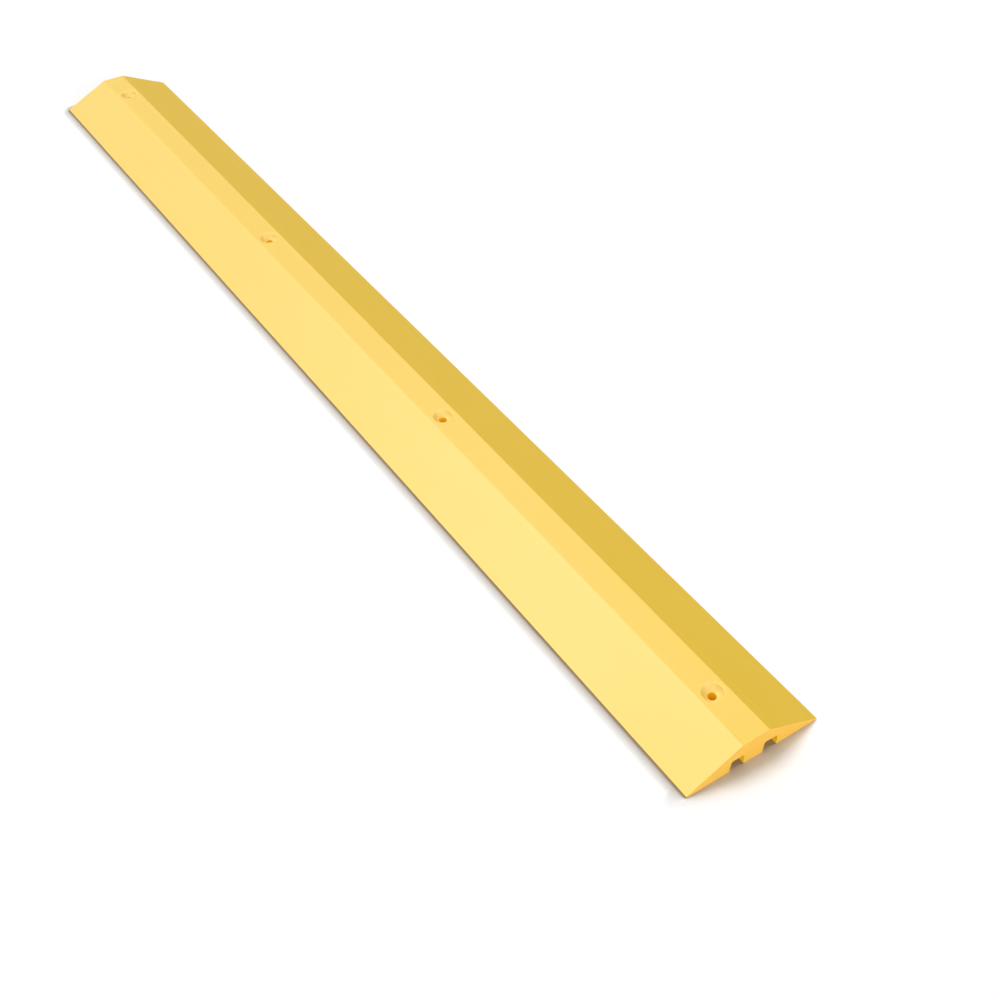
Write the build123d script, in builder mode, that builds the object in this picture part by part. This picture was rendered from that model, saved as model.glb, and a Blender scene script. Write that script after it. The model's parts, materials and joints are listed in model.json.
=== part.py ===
"""A speed bump: one solid moulded bar of yellow plastic, eight feet long, that lies across a lane.

The frame: the origin is at the middle of the underside, +X runs along the bar, +Y across it, and +Z is up.
"""

import os

from build123d import *

# Overall sizes of the bar, in millimetres
LENGTH = 2438.4
WIDTH = 254.0
HEIGHT = 50.8
CREST_WIDTH = 50.8

# The two long edges: a thin blunt lip at the foot of each slope, relieved underneath to clear the road
LIP_HEIGHT = 2.6
LIP_THICKNESS = 1.0
LIP_RADIUS = 0.5
RELIEF_WIDTH = 6.0

# Rounding where the crest meets the slopes, and around the outline of each end face
CREST_RADIUS = 7.0
END_RADIUS = 0.4

# Two cable and drain channels under the bar, open at both ends
CHANNEL_OFFSET = 32.0
CHANNEL_MOUTH = 27.5
CHANNEL_HEIGHT = 23.2
CHANNEL_DRAFT = 4.0
CHANNEL_ROOF_RADIUS = 4.0
CHANNEL_MOUTH_RADIUS = 0.8

# Four fixing holes down the middle of the crest, each at the bottom of a dished recess
HOLE_END_DISTANCE = 100.0
INNER_HOLE_SPACING = 705.0
HOLE_DIAMETER = 15.0
RECESS_DIAMETER = 36.0
RECESS_DEPTH = 12.7
RECESS_RIM_RADIUS = 3.2

# Sizes that follow from those above
OUTER_STATION = LENGTH / 2 - HOLE_END_DISTANCE
INNER_STATION = INNER_HOLE_SPACING / 2
HOLE_STATIONS = [-OUTER_STATION, -INNER_STATION, INNER_STATION, OUTER_STATION]
RELIEF_HEIGHT = LIP_HEIGHT - LIP_THICKNESS
DISH_RADIUS = ((RECESS_DIAMETER / 2) ** 2 + RECESS_DEPTH**2) / (2 * RECESS_DEPTH)
DISH_CENTRE_Z = HEIGHT - RECESS_DEPTH + DISH_RADIUS


def corners_at(height):
    """The corners of the cross-section at one height above the road. Its own Y runs up."""
    return section.vertices().filter_by_position(Axis.Y, height - 0.01, height + 0.01)


with BuildPart() as bump_bar:
    # The cross-section: a low ridge with a flat crest and two channels in its underside
    with BuildSketch(Plane.YZ) as section:
        with BuildLine():
            Polyline(
                (-WIDTH / 2 + RELIEF_WIDTH, 0),
                (-WIDTH / 2, RELIEF_HEIGHT),
                (-WIDTH / 2, LIP_HEIGHT),
                (-CREST_WIDTH / 2, HEIGHT),
                (CREST_WIDTH / 2, HEIGHT),
                (WIDTH / 2, LIP_HEIGHT),
                (WIDTH / 2, RELIEF_HEIGHT),
                (WIDTH / 2 - RELIEF_WIDTH, 0),
                close=True,
            )
        make_face()
        fillet(corners_at(HEIGHT), CREST_RADIUS)
        fillet(corners_at(LIP_HEIGHT) + corners_at(RELIEF_HEIGHT), LIP_RADIUS)
        with Locations((-CHANNEL_OFFSET, 0), (CHANNEL_OFFSET, 0)):
            Trapezoid(
                CHANNEL_MOUTH,
                CHANNEL_HEIGHT,
                90 - CHANNEL_DRAFT,
                align=(Align.CENTER, Align.MIN),
                mode=Mode.SUBTRACT,
            )
        fillet(corners_at(CHANNEL_HEIGHT), CHANNEL_ROOF_RADIUS)
        reach = CHANNEL_OFFSET + CHANNEL_MOUTH
        mouth_corners = corners_at(0).filter_by_position(Axis.X, -reach, reach)
        fillet(mouth_corners, CHANNEL_MOUTH_RADIUS)
    extrude(amount=LENGTH / 2, both=True)

    # The outline of each end face is eased all round
    ends = bump_bar.faces().filter_by(Axis.X)
    fillet(ends.edges(), END_RADIUS)

    # The recesses are parts of a sphere, and the holes go on through to the underside
    with Locations(*[(x, 0, DISH_CENTRE_Z) for x in HOLE_STATIONS]):
        Sphere(DISH_RADIUS, mode=Mode.SUBTRACT)
    with Locations(*[(x, 0, HEIGHT) for x in HOLE_STATIONS]):
        Hole(HOLE_DIAMETER / 2)
    crest_edges = bump_bar.edges().filter_by_position(Axis.Z, HEIGHT - 0.01, HEIGHT + 0.01)
    rims = crest_edges.filter_by(GeomType.CIRCLE)
    fillet(rims, RECESS_RIM_RADIUS)

bump_bar.part.label = "bump_bar"

os.makedirs("parts", exist_ok=True)
export_step(bump_bar.part, "parts/bump_bar.step")
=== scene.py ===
"""A speed bump bar of yellow moulded plastic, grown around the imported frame, on a plain pale floor.

Everything is in metres and in the frame's own axes: +X along the bar, +Y across it and +Z up.
"""
import json
import math

import bpy
from bpy.props import FloatProperty, FloatVectorProperty, IntProperty, PointerProperty
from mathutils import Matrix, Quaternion, Vector


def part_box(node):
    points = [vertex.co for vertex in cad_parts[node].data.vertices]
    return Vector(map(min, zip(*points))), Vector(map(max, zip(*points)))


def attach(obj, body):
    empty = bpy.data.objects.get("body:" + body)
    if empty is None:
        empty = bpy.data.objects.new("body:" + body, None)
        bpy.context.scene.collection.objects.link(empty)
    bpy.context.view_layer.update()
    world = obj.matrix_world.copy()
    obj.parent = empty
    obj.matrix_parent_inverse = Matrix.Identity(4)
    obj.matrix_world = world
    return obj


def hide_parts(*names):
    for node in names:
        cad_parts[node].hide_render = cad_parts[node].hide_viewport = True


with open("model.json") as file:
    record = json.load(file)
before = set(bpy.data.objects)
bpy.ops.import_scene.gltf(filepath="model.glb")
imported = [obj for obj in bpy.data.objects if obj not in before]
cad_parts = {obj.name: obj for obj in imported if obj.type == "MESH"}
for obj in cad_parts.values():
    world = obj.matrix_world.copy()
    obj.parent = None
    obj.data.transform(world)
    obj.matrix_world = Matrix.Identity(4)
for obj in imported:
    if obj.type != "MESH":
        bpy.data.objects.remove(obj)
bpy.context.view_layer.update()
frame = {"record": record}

bl_info = {
    "name": "Speed Bump Bar",
    "version": (1, 0, 0),
    "blender": (4, 5, 0),
    "location": "View3D > Sidebar > Speed Bump",
    "description": "Grows a moulded speed bump bar from its sizes and sets it on a pale studio floor",
    "category": "Add Mesh",
}

BAR_NODE = "bump_bar"
BAR_BODY = "root"

MM = 0.001
BAR_LOW, BAR_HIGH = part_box(BAR_NODE)
MOUNTS = {mount["name"]: mount["dims"] for mount in frame["record"]["mounts"]}

# Corners of the cross-section are numbered round it from the crest, in two mirrored halves: the last
# number, and the middle and reach of the channel's own corners in each half
LAST_CORNER = 15
CHANNEL_MIDDLE = 5.5
CHANNEL_REACH = 1.75

# How far the cutters reach past the crest and the road, and the angle above which an edge stays crisp
CUT_MARGIN = 5.0 * MM
CRISP_ANGLE = math.radians(35.0)

# Soft lamps, all far away: azimuth from +X, elevation and spread in degrees, and strength
LAMPS = {
    "key_lamp": (212.0, 56.0, 30.0, 1.31),
    "back_lamp": (139.0, 48.0, 36.0, 0.7),
    "low_back_lamp": (184.0, 30.0, 44.0, 0.56),
    "left_front_lamp": (314.0, 34.0, 50.0, 0.95),
    "right_front_lamp": (36.0, 40.0, 40.0, 0.28),
    "low_front_lamp": (9.0, 8.0, 34.0, 1.68),
}

# How often light may bounce: often enough to fill the bores and channels with the plastic's colour
BOUNCES = 12

# How far up the room's pale ceiling starts and is full, as the sine of the elevation
CEILING_RANGE = (0.15, 0.8)

# For the shadow painted on the floor: the side that its soft light is taken to come from, the openness at
# which the painted shade is deepest and is gone, and how many looks from each point find that openness
SHADOW_LEAN = (0.56, 0.75, 0.46)
SHADOW_RANGE = (0.73, 1.0)
SHADOW_SAMPLES = 16

# Patterns in the plastic: stretch along each axis, scale and detail
CLOUDS = ((1.0, 1.0, 1.0), 9.0, 2.0)
STREAKS = ((0.5, 20.0, 20.0), 6.0, 2.0)
RUBBING = ((0.4, 2.0, 2.0), 12.0, 4.0)
SAW_MARKS = ((1.0, 8.0, 160.0), 8.0, 3.0)
GRAIN_STRETCH = (1.0, 1.0, 1.0)
GRAIN_SCALE = 900.0
GRAIN_DETAIL = 3.0

# How far rubbing changes the roughness, and how much of the grain shows among the saw marks
UNEVENNESS = 0.02
SAWN_GRAIN = 0.3

# Gloss of the duller faces, as a share of the skin's
SAWN_GLOSS = 0.5
HOLLOW_GLOSS = 0.1

SENSOR_WIDTH = 36.0


def size_property(name, description, default):
    """A length, in metres."""
    return FloatProperty(name=name, description=description, default=default, min=0.0, precision=5,
                         subtype="DISTANCE", unit="LENGTH")


def angle_property(name, description, degrees):
    """An angle, given in degrees and kept in radians."""
    return FloatProperty(name=name, description=description, default=math.radians(degrees),
                         subtype="ANGLE", unit="ROTATION")


def count_property(name, description, default):
    """A whole number of steps."""
    return IntProperty(name=name, description=description, default=default, min=1)


def share_property(name, description, default):
    """A plain number from nothing to one."""
    return FloatProperty(name=name, description=description, default=default, min=0.0, max=1.0,
                         precision=4, subtype="FACTOR")


def colour_property(name, description, default):
    """A linear colour."""
    return FloatVectorProperty(name=name, description=description, default=default, min=0.0, max=1.0,
                               subtype="COLOR", size=3)


def place_property(name, description, default):
    """A point in the frame, in metres."""
    return FloatVectorProperty(name=name, description=description, default=default, precision=4,
                               subtype="XYZ", unit="LENGTH", size=3)


class BumpBarSizes(bpy.types.PropertyGroup):
    """The bar's sizes. Those that the frame holds start from it."""

    length: size_property("Length", "Along the bar, from end face to end face", BAR_HIGH.x - BAR_LOW.x)
    width: size_property("Width", "Across the bar, from lip to lip", BAR_HIGH.y - BAR_LOW.y)
    height: size_property("Height", "From the road to the crest", BAR_HIGH.z - BAR_LOW.z)
    crest_width: size_property("Crest Width", "Across the flat top", 50.8 * MM)
    crest_radius: size_property("Crest Radius", "Rounding between the crest and each slope", 7.0 * MM)
    lip_height: size_property("Lip Height", "Top of the blunt lip above the road", 2.6 * MM)
    lip_thickness: size_property("Lip Thickness", "Upright face of the lip", 1.0 * MM)
    lip_radius: size_property("Lip Radius", "Rounding of the lip's edges", 0.5 * MM)
    relief_width: size_property("Relief Width", "How far the underside is relieved behind the lip", 6.0 * MM)
    end_radius: size_property("End Radius", "Easing around the outline of each end face", 0.4 * MM)
    channel_offset: size_property("Channel Offset", "From the middle of the bar to the middle of a channel",
                                  32.0 * MM)
    channel_mouth: size_property("Channel Mouth", "Width of a channel at the road", 27.5 * MM)
    channel_height: size_property("Channel Height", "From the road to a channel's roof", 23.2 * MM)
    channel_draft: angle_property("Channel Draft", "Lean of a channel's walls", 4.0)
    channel_roof_radius: size_property("Channel Roof Radius", "Rounding of a channel's roof corners",
                                       4.0 * MM)
    channel_mouth_radius: size_property("Channel Mouth Radius", "Rounding of a channel's lower edges",
                                        0.8 * MM)
    outer_spacing: size_property("Outer Spacing", "Between the two holes nearest the ends",
                                 MOUNTS["outer_fixings"]["spacing_x_mm"] * MM)
    inner_spacing: size_property("Inner Spacing", "Between the two holes nearest the middle",
                                 MOUNTS["inner_fixings"]["spacing_x_mm"] * MM)
    hole_radius: size_property("Hole Radius", "Of each fixing hole",
                               MOUNTS["outer_fixings"]["hole_r_mm"] * MM)
    recess_diameter: size_property("Recess Diameter", "Of each dished recess, at the crest", 36.0 * MM)
    recess_depth: size_property("Recess Depth", "Of the dish, if the hole were not there", 12.7 * MM)
    rim_radius: size_property("Rim Radius", "Rounding of each recess's rim", 3.2 * MM)
    lengths: count_property("Lengths", "Faces along the bar", 24)
    corner_steps: count_property("Corner Steps", "Faces around each rounded corner", 8)
    end_steps: count_property("End Steps", "Faces around the eased end outline", 4)
    round_steps: count_property("Round Steps", "Faces around each hole", 96)
    dish_steps: count_property("Dish Steps", "Faces down each dish", 14)
    rim_steps: count_property("Rim Steps", "Faces around each recess's rim", 6)


class PlasticLook(bpy.types.PropertyGroup):
    """The colours and finish of the plastic."""

    skin_colour: colour_property("Skin Colour", "Pigment of the moulded faces", (0.89, 0.577, 0.02))
    # The sawn colour is more orange than the skin: painted shade for the orange light that the floor bounces
    # onto the end faces
    sawn_shade_colour: colour_property("Sawn Colour", "Pigment of the sawn end faces", (0.92, 0.525, 0.056))
    # The recess colour is paler than the skin: a painted sheen for the gloss that the recesses' walls and
    # rims catch
    recess_sheen_colour: colour_property("Recess Colour", "Pigment of the recesses, paler where a cutter sank them",
                                   (1.0, 0.705, 0.165))
    # The hollow colour is brighter than the skin: painted light for the light that bounces round inside the
    # bores and channels
    hollow_bounce_colour: colour_property("Hollow Colour", "Pigment of the bores and channels", (1.0, 0.72, 0.015))
    skin_roughness: share_property("Skin Roughness", "Of the moulded faces", 0.42)
    sawn_roughness: share_property("Sawn Roughness", "Of the sawn end faces", 0.5)
    hollow_roughness: share_property("Hollow Roughness", "Of the bores and channels", 0.6)
    gloss: share_property("Gloss", "How strongly the plastic mirrors what faces it", 1.0)
    drift: share_property("Pigment Drift", "How far the pigment varies over the bar", 0.012)
    grain_depth: size_property("Grain Depth", "Of the fine grain of the moulded faces", 0.004 * MM)
    saw_depth: size_property("Saw Mark Depth", "Of the marks that the saw left", 0.02 * MM)


class StageSetup(bpy.types.PropertyGroup):
    """The floor, the light and the camera."""

    floor_reach: size_property("Floor Reach", "From the middle of the floor to its edge", 20.0)
    floor_colour: colour_property("Floor Colour", "Of the pale floor", (0.9, 0.9, 0.9))
    floor_lift: share_property("Floor Lift", "How much paler the picture shows the floor, to make it white",
                               0.21)
    # The soft shadow near the bar is partly cast by the lamps and partly painted into the floor's colour in
    # the picture
    shadow_reach: size_property("Shadow Reach", "How far the soft shadow spreads beside the bar", 23.0 * MM)
    end_shadow_reach: size_property("End Shadow Reach", "How far it spreads before the near end", 60.0 * MM)
    # The colour of the painted shadow where it is deepest
    painted_shadow_colour: colour_property("Shadow Colour", "Of the floor where the bar shades it most",
                                   (0.36, 0.285, 0.22))
    sky_level: share_property("Sky Level", "Plain light from all round", 0.06)
    camera_place: place_property("Camera Place", "Where the camera stands", (2.01264, -0.97308, 1.69312))
    camera_aim: place_property("Camera Aim", "The point on the floor in the middle of the picture",
                               (0.55272, -0.00734, 0.0))
    camera_roll: angle_property("Camera Roll", "Tilt of the picture, anticlockwise", 0.195)
    camera_lens: FloatProperty(name="Camera Lens", description="Focal length for a 36 mm wide sensor",
                               default=49.476, subtype="DISTANCE_CAMERA", unit="CAMERA")


class Term:
    """A number in a node tree. Arithmetic on terms lays the math nodes that work it out."""

    def __init__(self, bench, socket):
        self.bench = bench
        self.socket = socket

    def __add__(self, other):
        return self.bench.math("ADD", self, other)

    def __radd__(self, other):
        return self.bench.math("ADD", other, self)

    def __sub__(self, other):
        return self.bench.math("SUBTRACT", self, other)

    def __rsub__(self, other):
        return self.bench.math("SUBTRACT", other, self)

    def __mul__(self, other):
        return self.bench.math("MULTIPLY", self, other)

    def __rmul__(self, other):
        return self.bench.math("MULTIPLY", other, self)

    def __truediv__(self, other):
        return self.bench.math("DIVIDE", self, other)

    def __neg__(self):
        return self.bench.math("MULTIPLY", self, -1.0)


class NodeBench:
    """Lays nodes in one tree and joins each to the values or outputs that feed it."""

    def __init__(self, tree):
        self.tree = tree

    def add(self, kind, inputs=None, **settings):
        """A new node with these settings, its inputs given by name or by place."""
        node = self.tree.nodes.new(kind)
        for name, value in settings.items():
            setattr(node, name, value)
        for key, value in (inputs or {}).items():
            self.feed(node.inputs[key], value)
        return node

    def feed(self, socket, value):
        """Joins an output or a term to an input, or sets the input to a plain value."""
        if isinstance(value, Term):
            value = value.socket
        if isinstance(value, bpy.types.NodeSocket):
            self.tree.links.new(value, socket)
        else:
            socket.default_value = value

    def math(self, operation, *values):
        node = self.add("ShaderNodeMath", dict(enumerate(values)), operation=operation)
        return Term(self, node.outputs[0])

    def share(self, value):
        """The value, held between nothing and one."""
        node = self.add("ShaderNodeClamp", {"Value": value})
        return Term(self, node.outputs[0])

    def vector(self, x=0.0, y=0.0, z=0.0):
        return self.add("ShaderNodeCombineXYZ", {"X": x, "Y": y, "Z": z}).outputs[0]

    def parts(self, vector):
        """The three numbers of a vector."""
        node = self.add("ShaderNodeSeparateXYZ", {0: vector})
        return [Term(self, output) for output in node.outputs]

    def scaled(self, vector, factor):
        node = self.add("ShaderNodeVectorMath", {0: vector, "Scale": factor}, operation="SCALE")
        return node.outputs[0]

    def mixed(self, share, first, second):
        """Between two colours: the first where the share is nothing, the second where it is one."""
        node = self.add("ShaderNodeMix", {"Factor": share}, data_type="VECTOR")
        self.feed(node.inputs[4], first)
        self.feed(node.inputs[5], second)
        return node.outputs[1]


class ShapeBench(NodeBench):
    """A bench for geometry nodes. A property group gives the tree its named inputs, which are its terms."""

    def __init__(self, name, sizes):
        super().__init__(bpy.data.node_groups.new(name, "GeometryNodeTree"))
        self.identifiers = {}
        for key in sizes.__annotations__:
            prop = sizes.bl_rna.properties[key]
            kind = "NodeSocketInt" if prop.type == "INT" else "NodeSocketFloat"
            socket = self.tree.interface.new_socket(prop.name, in_out="INPUT", socket_type=kind)
            self.identifiers[key] = socket.identifier
        self.tree.interface.new_socket("Geometry", in_out="OUTPUT", socket_type="NodeSocketGeometry")
        given = self.add("NodeGroupInput").outputs
        for key, output in zip(self.identifiers, given):
            setattr(self, key, Term(self, output))

    def index(self):
        return Term(self, self.add("GeometryNodeInputIndex").outputs[0])

    def position(self):
        """The three coordinates of each point."""
        return self.parts(self.add("GeometryNodeInputPosition").outputs[0])

    def mirrored(self, count):
        """For points in mirrored pairs: each one's place from the nearer end of the row, and its sign."""
        index = self.index()
        place = self.math("MINIMUM", index, count - 1 - index)
        sign = 1 - 2 * self.math("GREATER_THAN", index, (count - 1) / 2)
        return place, sign

    def pick(self, place, values):
        """The value at this place in a row of values."""
        node = self.add("GeometryNodeIndexSwitch", data_type="FLOAT")
        while len(node.index_switch_items) < len(values):
            node.index_switch_items.new()
        self.feed(node.inputs["Index"], place)
        for number, value in enumerate(values):
            self.feed(node.inputs[str(number)], value)
        return Term(self, node.outputs[0])

    def on_faces(self, value):
        """A value as it is in the middle of each face."""
        node = self.add("GeometryNodeFieldOnDomain", {"Value": value}, data_type="FLOAT", domain="FACE")
        return Term(self, node.outputs[0])

    def capture(self, geometry, name, kind, value):
        """Stores a value on each point. Returns the geometry, and the value as later steps read it."""
        node = self.add("GeometryNodeCaptureAttribute", {"Geometry": geometry})
        node.capture_items.new(kind, name)
        self.feed(node.inputs[name], value)
        return node.outputs["Geometry"], node.outputs[name]

    def curve_through(self, count, position):
        """A curve of straight runs through a row of points."""
        points = self.add("GeometryNodePoints", {"Count": count, "Position": position})
        return self.add("GeometryNodePointsToCurves", {"Points": points.outputs[0]}).outputs[0]

    def shade(self, geometry, smooth, domain="FACE", **selection):
        """The geometry with its faces shaded smooth or flat, or its edges smooth or crisp."""
        inputs = {"Geometry": geometry, "Shade Smooth": smooth, **selection}
        return self.add("GeometryNodeSetShadeSmooth", inputs, domain=domain).outputs[0]

    def dress(self, geometry, material, **selection):
        """The geometry with this material on its faces."""
        inputs = {"Geometry": geometry, "Material": material, **selection}
        return self.add("GeometryNodeSetMaterial", inputs).outputs[0]


def section_curve(bench):
    """The bar's cross-section, as a closed curve with rounded corners.

    The sweep turns it over, so up is negative here. Returns the curve, each point's corner number and
    its direction into the plastic.
    """
    half_width = bench.width / 2
    half_mouth = bench.channel_mouth / 2
    taper = bench.channel_height * bench.math("TANGENT", bench.channel_draft)
    outer_wall = bench.channel_offset + half_mouth
    inner_wall = bench.channel_offset - half_mouth
    corners = [
        # across, up, rounding
        (bench.crest_width / 2, bench.height, bench.crest_radius),
        (half_width, bench.lip_height, bench.lip_radius),
        (half_width, bench.lip_height - bench.lip_thickness, bench.lip_radius),
        (half_width - bench.relief_width, 0.0, bench.lip_radius),
        (outer_wall, 0.0, bench.channel_mouth_radius),
        (outer_wall - taper, bench.channel_height, bench.channel_roof_radius),
        (inner_wall + taper, bench.channel_height, bench.channel_roof_radius),
        (inner_wall, 0.0, bench.channel_mouth_radius),
    ]
    across, up, rounding = zip(*corners)
    count = 2 * len(corners)
    place, sign = bench.mirrored(count)
    position = bench.vector(sign * bench.pick(place, across), -bench.pick(place, up))
    outline = bench.curve_through(count, position)
    closed = bench.add("GeometryNodeSetSplineCyclic", {"Geometry": outline, "Cyclic": True}).outputs[0]
    numbered, corner = bench.capture(closed, "Corner", "FLOAT", bench.index())
    rounded = bench.add("GeometryNodeFilletCurve", {
        "Curve": numbered,
        "Count": bench.corner_steps,
        "Radius": bench.pick(place, rounding),
    }, mode="POLY").outputs[0]
    across_run, up_run, _ = bench.parts(bench.add("GeometryNodeInputTangent").outputs[0])
    directed, inward = bench.capture(rounded, "Inward", "VECTOR", bench.vector(0.0, up_run, -across_run))
    return directed, corner, inward


def rail_curve(bench):
    """The line along the bar, with close stations at both ends, where the end's outline is eased.

    Returns the line, and how far each station's section is drawn in, as a share of the end radius.
    """
    lengths, steps, radius = bench.lengths, bench.end_steps, bench.end_radius
    index = bench.index()
    along = bench.share((index - steps) / lengths)
    near_turn = math.pi / 2 * bench.share((index - steps - lengths) / steps)
    far_turn = math.pi / 2 * bench.share((steps - index) / steps)
    eased = bench.math("SINE", near_turn) - bench.math("SINE", far_turn)
    straight = (along - 0.5) * (bench.length - 2 * radius)
    rail = bench.curve_through(lengths + 2 * steps + 1, bench.vector(straight + radius * eased))
    turn = bench.math("MAXIMUM", near_turn, far_turn)
    return bench.capture(rail, "Inset", "FLOAT", 1 - bench.math("COSINE", turn))


def plain_bar(bench, finishes):
    """The bar before its holes are cut, with its flat faces shaded flat and its rounded ones smooth."""
    section, corner, inward = section_curve(bench)
    rail, inset = rail_curve(bench)
    tube = bench.add("GeometryNodeCurveToMesh", {"Curve": rail, "Profile Curve": section, "Fill Caps": True})
    drawn_in = bench.add("GeometryNodeSetPosition", {
        "Geometry": tube.outputs[0],
        "Offset": bench.scaled(inward, Term(bench, inset) * bench.end_radius),
    }).outputs[0]
    # A face between two corners has a corner number halfway between whole ones, and a face of the
    # easing has an inset between nothing and one
    face_corner = bench.on_faces(corner)
    whole_corner = bench.math("PINGPONG", face_corner, 0.5)
    in_corner = bench.math("LESS_THAN", whole_corner, 0.25)
    on_easing = bench.math("COMPARE", bench.on_faces(inset), 0.5, 0.499)
    shaded = bench.shade(drawn_in, bench.math("MAXIMUM", in_corner, on_easing))
    mirrored_corner = bench.math("MINIMUM", face_corner, LAST_CORNER - face_corner)
    in_channel = bench.math("COMPARE", mirrored_corner, CHANNEL_MIDDLE, CHANNEL_REACH)
    # The channels take the hollow finish, whose brighter colour is painted light
    return bench.dress(bench.dress(shaded, finishes["skin"]), finishes["hollow"], Selection=in_channel)


def hole_cutter(bench, finishes):
    """The empty space of one hole: bore, dish and rounded rim, from below the road to above the crest."""
    half = bench.recess_diameter / 2
    depth, rim = bench.recess_depth, bench.rim_radius
    dish = (half * half + depth * depth) / (2 * depth)
    dish_centre = bench.height - depth + dish
    rim_circle = bench.math("SQRT", depth * (2 * (dish + rim) - depth))
    first = bench.math("ARCSINE", bench.hole_radius / dish)
    last = bench.math("ARCSINE", rim_circle / (dish + rim))
    rings = bench.dish_steps + bench.rim_steps + 2
    drum = bench.add("GeometryNodeMeshCylinder", {
        "Vertices": bench.round_steps,
        "Side Segments": rings,
        "Radius": 1.0,
        "Depth": 1.0,
    })
    x, y, z = bench.position()
    level = (z + 0.5) * rings
    ring = bench.math("ROUND", level)
    dish_turn = first + (last - first) * bench.share((ring - 1) / bench.dish_steps)
    rim_turn = last * (1 - bench.share((ring - 1 - bench.dish_steps) / bench.rim_steps))
    stretches = [
        # out from the hole's axis, up from the road: bore below the road, dish, rim, above the crest
        (bench.hole_radius, -CUT_MARGIN),
        (dish * bench.math("SINE", dish_turn), dish_centre - dish * bench.math("COSINE", dish_turn)),
        (rim_circle - rim * bench.math("SINE", rim_turn),
         bench.height - rim + rim * bench.math("COSINE", rim_turn)),
        (rim_circle, bench.height + CUT_MARGIN),
    ]
    stretch = (bench.math("GREATER_THAN", ring, 0.5)
               + bench.math("GREATER_THAN", ring, bench.dish_steps + 1.5)
               + bench.math("GREATER_THAN", ring, rings - 0.5))
    out, up = (bench.pick(stretch, values) for values in zip(*stretches))
    # The bore lies below the first ring, and the recess reaches up to the last strip of its rim
    face_level = bench.on_faces(level)
    in_bore = bench.math("LESS_THAN", face_level, 1)
    in_recess = bench.math("LESS_THAN", face_level, rings - 2)
    skinned = bench.dress(drum.outputs["Mesh"], finishes["skin"])
    # The recess, up to the last strip of its rim, takes the paler finish with its painted sheen
    sunk = bench.dress(skinned, finishes["recess"], Selection=in_recess)
    # The bore takes the hollow finish, whose brighter colour is painted light
    bored = bench.dress(sunk, finishes["hollow"], Selection=in_bore)
    shaped = bench.add("GeometryNodeSetPosition", {
        "Geometry": bored,
        "Position": bench.vector(x * out, y * out, up),
    }).outputs[0]
    return bench.shade(shaped, True)


def drilled_bar(bench, finishes):
    """The bar with its four holes cut, its rounded edges smooth and its other edges crisp."""
    half_spacings = (bench.outer_spacing / 2, bench.inner_spacing / 2)
    count = 2 * len(half_spacings)
    place, sign = bench.mirrored(count)
    station = bench.vector(sign * bench.pick(place, half_spacings))
    stations = bench.add("GeometryNodePoints", {"Count": count, "Position": station}).outputs[0]
    cutter = hole_cutter(bench, finishes)
    placed = bench.add("GeometryNodeInstanceOnPoints", {"Points": stations, "Instance": cutter})
    cutters = bench.add("GeometryNodeRealizeInstances", {"Geometry": placed.outputs[0]}).outputs[0]
    cut = bench.add("GeometryNodeMeshBoolean", {
        "Mesh 1": plain_bar(bench, finishes),
        "Mesh 2": cutters,
    }, operation="DIFFERENCE", solver="EXACT").outputs["Mesh"]
    angle = bench.add("GeometryNodeInputMeshEdgeAngle").outputs["Unsigned Angle"]
    return bench.shade(cut, False, "EDGE", Selection=bench.math("GREATER_THAN", angle, CRISP_ANGLE))


def bar_shape(finishes):
    """The whole bar as a node tree, each kind of face in its own finish."""
    bench = ShapeBench("Bump Bar", BumpBarSizes)
    whole = bench.add("GeometryNodeRealizeInstances", {"Geometry": drilled_bar(bench, finishes)}).outputs[0]
    from_middle = bench.math("ABSOLUTE", bench.position()[0])
    # The sawn finish takes in the easing's last strip, which is almost flush with the end face
    flat_end = (bench.length - bench.end_radius / 4) / 2
    end_face = bench.math("GREATER_THAN", bench.on_faces(from_middle), flat_end)
    bench.add("NodeGroupOutput", {"Geometry": bench.dress(whole, finishes["sawn"], Selection=end_face)})
    return bench


def group_bench(name, inputs, outputs):
    """A new shader node group with these sockets. Returns its bench, what it gets and what it puts out."""
    tree = bpy.data.node_groups.new(name, "ShaderNodeTree")
    for label, kind in inputs.items():
        tree.interface.new_socket(label, in_out="INPUT", socket_type=kind)
    for label, kind in outputs.items():
        tree.interface.new_socket(label, in_out="OUTPUT", socket_type=kind)
    bench = NodeBench(tree)
    inlets = bench.add("NodeGroupInput").outputs
    given = {inlet.name: Term(bench, inlet) for inlet in inlets if inlet.name}
    return bench, given, bench.add("NodeGroupOutput").inputs


def noise(bench, stretch, scale, detail):
    """Noise from -1 to 1 on the object's own coordinates, which are first stretched along each axis."""
    place = bench.add("ShaderNodeTexCoord").outputs["Object"]
    spread = bench.add("ShaderNodeVectorMath", {0: place, 1: stretch}, operation="MULTIPLY").outputs[0]
    cloud = bench.add("ShaderNodeTexNoise", {"Vector": spread, "Scale": scale, "Detail": detail})
    return 2 * Term(bench, cloud.outputs[0]) - 1


def pigment_group():
    """The plastic's colour: a pigment that drifts in soft clouds, and in streaks along its flow."""
    bench, given, out = group_bench("Drifting Pigment", {
        "Pigment": "NodeSocketColor",
        "Drift": "NodeSocketFloat",
    }, {"Color": "NodeSocketColor"})
    clouds = noise(bench, *CLOUDS)
    streaks = noise(bench, *STREAKS)
    level = 1 + given["Drift"] * (clouds + streaks)
    bench.feed(out["Color"], bench.scaled(given["Pigment"].socket, level))
    return bench.tree


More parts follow.
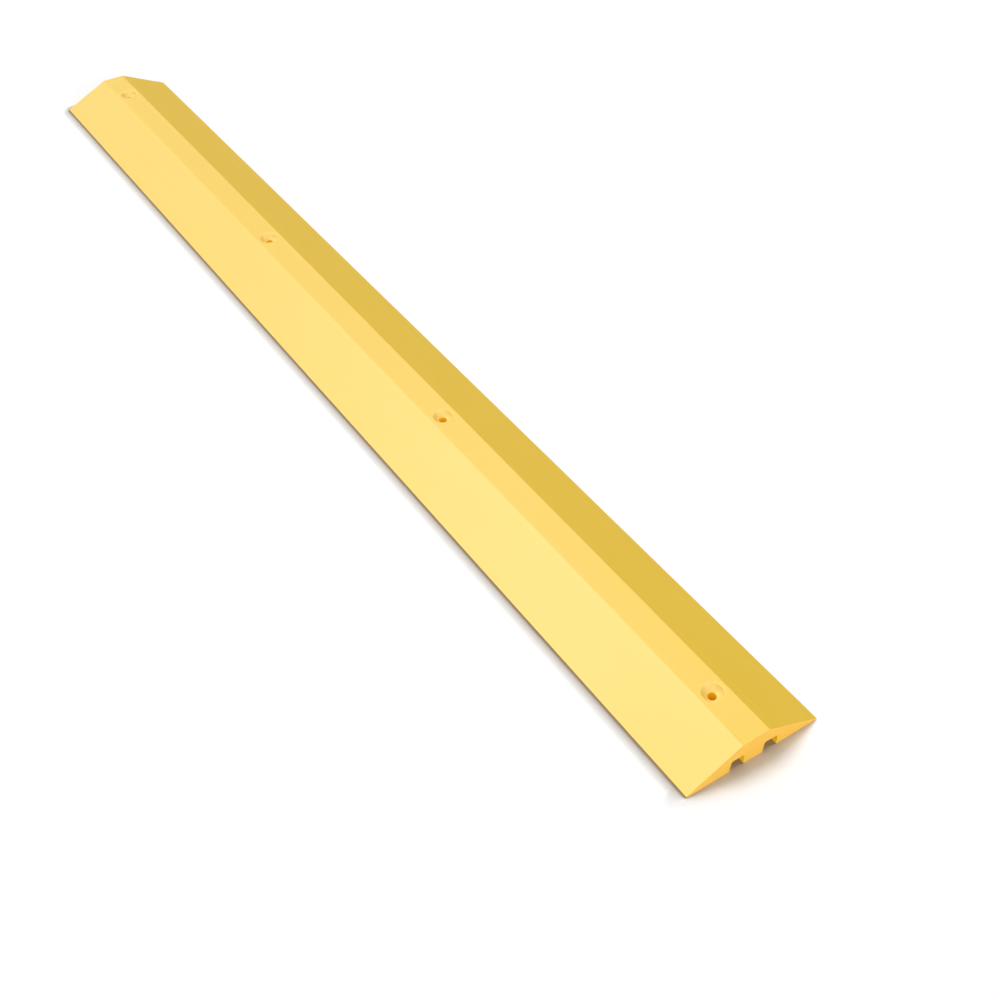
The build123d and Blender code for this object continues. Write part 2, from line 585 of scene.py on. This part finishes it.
def grain_group():
    """The plastic's surface: a fine grain, and gloss that varies a little over it."""
    bench, given, out = group_bench("Fine Grain", {
        "Grain Scale": "NodeSocketFloat",
        "Roughness": "NodeSocketFloat",
        "Unevenness": "NodeSocketFloat",
    }, {"Height": "NodeSocketFloat", "Roughness": "NodeSocketFloat"})
    rubbed = noise(bench, *RUBBING)
    bench.feed(out["Height"], noise(bench, GRAIN_STRETCH, given["Grain Scale"], GRAIN_DETAIL))
    bench.feed(out["Roughness"], given["Roughness"] + given["Unevenness"] * rubbed)
    return bench.tree


class PlasticBench(NodeBench):
    """A bench for one plastic, with the shared pigment and grain laid and joined to its surface."""

    def __init__(self, name, colour, roughness, gloss, drift):
        material = bpy.data.materials.new(name)
        material.use_nodes = True
        super().__init__(material.node_tree)
        self.material = material
        self.surface = self.tree.nodes["Principled BSDF"]
        pigment = self.add_group("Drifting Pigment", {"Pigment": (*colour, 1.0), "Drift": drift})
        self.grain = self.add_group("Fine Grain", {
            "Grain Scale": GRAIN_SCALE,
            "Roughness": roughness,
            "Unevenness": UNEVENNESS,
        })
        self.feed(self.surface.inputs["Base Color"], pigment["Color"])
        self.feed(self.surface.inputs["Roughness"], self.grain["Roughness"])
        self.feed(self.surface.inputs["Specular IOR Level"], gloss)

    def add_group(self, name, inputs):
        """Places a shader node group. Returns its outputs."""
        node = self.add("ShaderNodeGroup", node_tree=bpy.data.node_groups[name])
        for key, value in inputs.items():
            self.feed(node.inputs[key], value)
        return node.outputs

    def bump(self, height, depth):
        """Raises the surface by a height from -1 to 1, times a depth."""
        node = self.add("ShaderNodeBump", {"Height": height, "Distance": depth})
        self.feed(self.surface.inputs["Normal"], node.outputs[0])


def moulded_skin(look):
    """The finish of the faces that the mould made."""
    bench = PlasticBench("Moulded Skin", look.skin_colour, look.skin_roughness, look.gloss, look.drift)
    bench.bump(bench.grain["Height"], look.grain_depth)
    return bench.material


def sawn_end(look):
    """The finish of the end faces: the same plastic inside the skin, more orange than the skin as painted
    shade for the light bounced onto them, with the marks of the saw across it.
    """
    gloss = SAWN_GLOSS * look.gloss
    bench = PlasticBench("Sawn End", look.sawn_shade_colour, look.sawn_roughness, gloss, look.drift)
    marks = noise(bench, *SAW_MARKS)
    bench.bump(marks + SAWN_GRAIN * Term(bench, bench.grain["Height"]), look.saw_depth)
    return bench.material


def sunk_recess(look):
    """The finish of the dished recesses: paler than the skin, a painted sheen for the gloss that their walls
    catch.
    """
    bench = PlasticBench("Sunk Recess", look.recess_sheen_colour, look.sawn_roughness, look.gloss, look.drift)
    bench.bump(bench.grain["Height"], look.grain_depth)
    return bench.material


def dull_hollow(look):
    """The finish inside the bores and channels: deep in colour and brighter than the skin, as painted light
    for the light that bounces round inside them, and dull because nothing has rubbed it.
    """
    gloss = HOLLOW_GLOSS * look.gloss
    bench = PlasticBench("Dull Hollow", look.hollow_bounce_colour, look.hollow_roughness, gloss, look.drift)
    bench.bump(bench.grain["Height"], look.grain_depth)
    return bench.material


def plastic_finishes(look):
    """Every finish of the plastic, by name."""
    return {
        "skin": moulded_skin(look),
        "sawn": sawn_end(look),
        "recess": sunk_recess(look),
        "hollow": dull_hollow(look),
    }


def plain_mesh(name, shape, sizes):
    """A new object whose mesh is what a node tree makes of these sizes. No modifier is left on it."""
    piece = bpy.data.objects.new(name, bpy.data.meshes.new(name))
    bpy.context.scene.collection.objects.link(piece)
    modifier = piece.modifiers.new(shape.tree.name, "NODES")
    modifier.node_group = shape.tree
    for key, identifier in shape.identifiers.items():
        modifier[identifier] = getattr(sizes, key)
    evaluated = piece.evaluated_get(bpy.context.evaluated_depsgraph_get())
    mesh = bpy.data.meshes.new_from_object(evaluated)
    piece.modifiers.remove(modifier)
    piece.data = mesh
    mesh.name = name
    return piece


class SPEEDBUMP_OT_bar(bpy.types.Operator):
    """Grow the moulded bar, in place of the plain one in the frame"""

    bl_idname = "speedbump.bar"
    bl_label = "Grow Bar"

    def execute(self, context):
        settings = context.scene.speed_bump
        pigment_group()
        grain_group()
        shape = bar_shape(plastic_finishes(settings.look))
        bar = plain_mesh("moulded_bar", shape, settings.sizes)
        if not bar.data.polygons:
            raise RuntimeError("The bar's sizes leave no bar")
        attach(bar, BAR_BODY)
        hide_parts(BAR_NODE)
        return {"FINISHED"}


def lay_floor(stage):
    """A plain pale floor with the bar's soft shadow, partly painted, white in the picture where it is open.

    Close to the bar the floor's colour in the picture is darkened towards the shadow colour, a painted
    shadow, by how far the bar hides it from one side. That painted shade spreads further before the near end
    than beside the bar.
    """
    reach = stage.floor_reach
    mesh = bpy.data.meshes.new("studio_floor")
    corners = [(-reach, -reach, 0.0), (reach, -reach, 0.0), (reach, reach, 0.0), (-reach, reach, 0.0)]
    mesh.from_pydata(corners, [], [(0, 1, 2, 3)])
    floor = bpy.data.objects.new("studio_floor", mesh)
    bpy.context.scene.collection.objects.link(floor)
    material = bpy.data.materials.new("Pale Floor")
    material.use_nodes = True
    material.node_tree.nodes.clear()
    bench = NodeBench(material.node_tree)
    seen = Term(bench, bench.add("ShaderNodeLightPath").outputs["Is Camera Ray"])
    along, _, _ = bench.parts(bench.add("ShaderNodeTexCoord").outputs["Object"])
    at_end = bench.share((along - BAR_HIGH.x) / stage.shadow_reach + 1)
    spread = stage.shadow_reach + at_end * (stage.end_shadow_reach - stage.shadow_reach)
    # Painted shadow: ambient occlusion about a leaned normal finds how close the bar is
    openness = bench.add("ShaderNodeAmbientOcclusion", {
        "Distance": spread,
        "Normal": bench.vector(*SHADOW_LEAN),
    }, samples=SHADOW_SAMPLES).outputs["AO"]
    deepest, gone = SHADOW_RANGE
    bright = bench.share((Term(bench, openness) - deepest) / (gone - deepest))
    lifted = [value * (1.0 + stage.floor_lift) for value in stage.floor_colour]
    # The floor's colour in the picture is mixed towards the painted shadow colour where the bar is close
    shaded = bench.mixed(bright, stage.painted_shadow_colour, lifted)
    colour = bench.mixed(seen, stage.floor_colour, shaded)
    matt = bench.add("ShaderNodeBsdfDiffuse", {"Color": colour})
    bench.add("ShaderNodeOutputMaterial", {"Surface": matt.outputs[0]})
    mesh.materials.append(material)


def light_stage(stage):
    """Soft lamps all round, and a dim world that the picture shows as white.

    The plastic mirrors a pale ceiling above a dark horizon. The horizon stays dark because the bar's far
    slope mirrors an unlit part of the room.
    """
    for name, (azimuth, elevation, spread, strength) in LAMPS.items():
        light = bpy.data.lights.new(name, "SUN")
        light.angle = math.radians(spread)
        light.energy = strength
        lamp = bpy.data.objects.new(name, light)
        lamp.rotation_euler = (0.0, math.radians(90.0 - elevation), math.radians(azimuth))
        bpy.context.scene.collection.objects.link(lamp)
    world = bpy.data.worlds.new("Studio")
    world.use_nodes = True
    bench = NodeBench(world.node_tree)
    path = bench.add("ShaderNodeLightPath").outputs
    _, _, up = bench.parts(bench.add("ShaderNodeTexCoord").outputs["Generated"])
    low, high = CEILING_RANGE
    ceiling = bench.share((up - low) / (high - low))
    mirrored = Term(bench, path["Is Glossy Ray"]) * ceiling
    shown = bench.math("MAXIMUM", path["Is Camera Ray"], mirrored)
    sky = world.node_tree.nodes["Background"]
    bench.feed(sky.inputs["Color"], (1.0, 1.0, 1.0, 1.0))
    bench.feed(sky.inputs["Strength"], bench.math("MAXIMUM", shown, stage.sky_level))
    bpy.context.scene.world = world


def set_camera(stage):
    """The camera, at the picture's own angle."""
    data = bpy.data.cameras.new("studio_camera")
    data.sensor_width = SENSOR_WIDTH
    data.lens = stage.camera_lens
    camera = bpy.data.objects.new("studio_camera", data)
    camera.location = stage.camera_place
    facing = (Vector(stage.camera_aim) - Vector(stage.camera_place)).to_track_quat("-Z", "Y")
    roll = Quaternion((0.0, 0.0, 1.0), -stage.camera_roll)
    camera.rotation_euler = (facing @ roll).to_euler()
    bpy.context.scene.collection.objects.link(camera)
    bpy.context.scene.camera = camera


class SPEEDBUMP_OT_stage(bpy.types.Operator):
    """Lay the floor, hang the lamps and set the camera"""

    bl_idname = "speedbump.stage"
    bl_label = "Set Stage"

    def execute(self, context):
        stage = context.scene.speed_bump.stage
        lay_floor(stage)
        light_stage(stage)
        set_camera(stage)
        context.scene.view_settings.view_transform = "Standard"
        context.scene.cycles.diffuse_bounces = BOUNCES
        return {"FINISHED"}


class SpeedBumpSettings(bpy.types.PropertyGroup):
    """Everything that a user may change."""

    sizes: PointerProperty(name="Sizes", description="The bar's sizes", type=BumpBarSizes)
    look: PointerProperty(name="Look", description="The plastic's colours and finish", type=PlasticLook)
    stage: PointerProperty(name="Stage", description="The floor, the light and the camera", type=StageSetup)


class SPEEDBUMP_PT_sidebar(bpy.types.Panel):
    """The bar's and the stage's settings, each above the button that uses them"""

    bl_idname = "SPEEDBUMP_PT_sidebar"
    bl_label = "Speed Bump"
    bl_space_type = "VIEW_3D"
    bl_region_type = "UI"
    bl_category = "Speed Bump"

    def draw(self, context):
        settings = context.scene.speed_bump
        self.draw_group(SPEEDBUMP_OT_bar, settings.sizes, settings.look)
        self.draw_group(SPEEDBUMP_OT_stage, settings.stage)

    def draw_group(self, operator, *groups):
        """One operator's button below the properties that it reads."""
        box = self.layout.box()
        for group in groups:
            for key in type(group).__annotations__:
                box.prop(group, key)
        box.operator(operator.bl_idname)


CLASSES = (
    BumpBarSizes,
    PlasticLook,
    StageSetup,
    SpeedBumpSettings,
    SPEEDBUMP_OT_bar,
    SPEEDBUMP_OT_stage,
    SPEEDBUMP_PT_sidebar,
)


def register():
    for cls in CLASSES:
        bpy.utils.register_class(cls)
    bpy.types.Scene.speed_bump = PointerProperty(
        name="Speed Bump", description="Settings of the bar and its stage", type=SpeedBumpSettings)


def unregister():
    del bpy.types.Scene.speed_bump
    for cls in reversed(CLASSES):
        bpy.utils.unregister_class(cls)


def main():
    register()
    bpy.ops.speedbump.bar()
    bpy.ops.speedbump.stage()


if __name__ == "__main__":
    main()
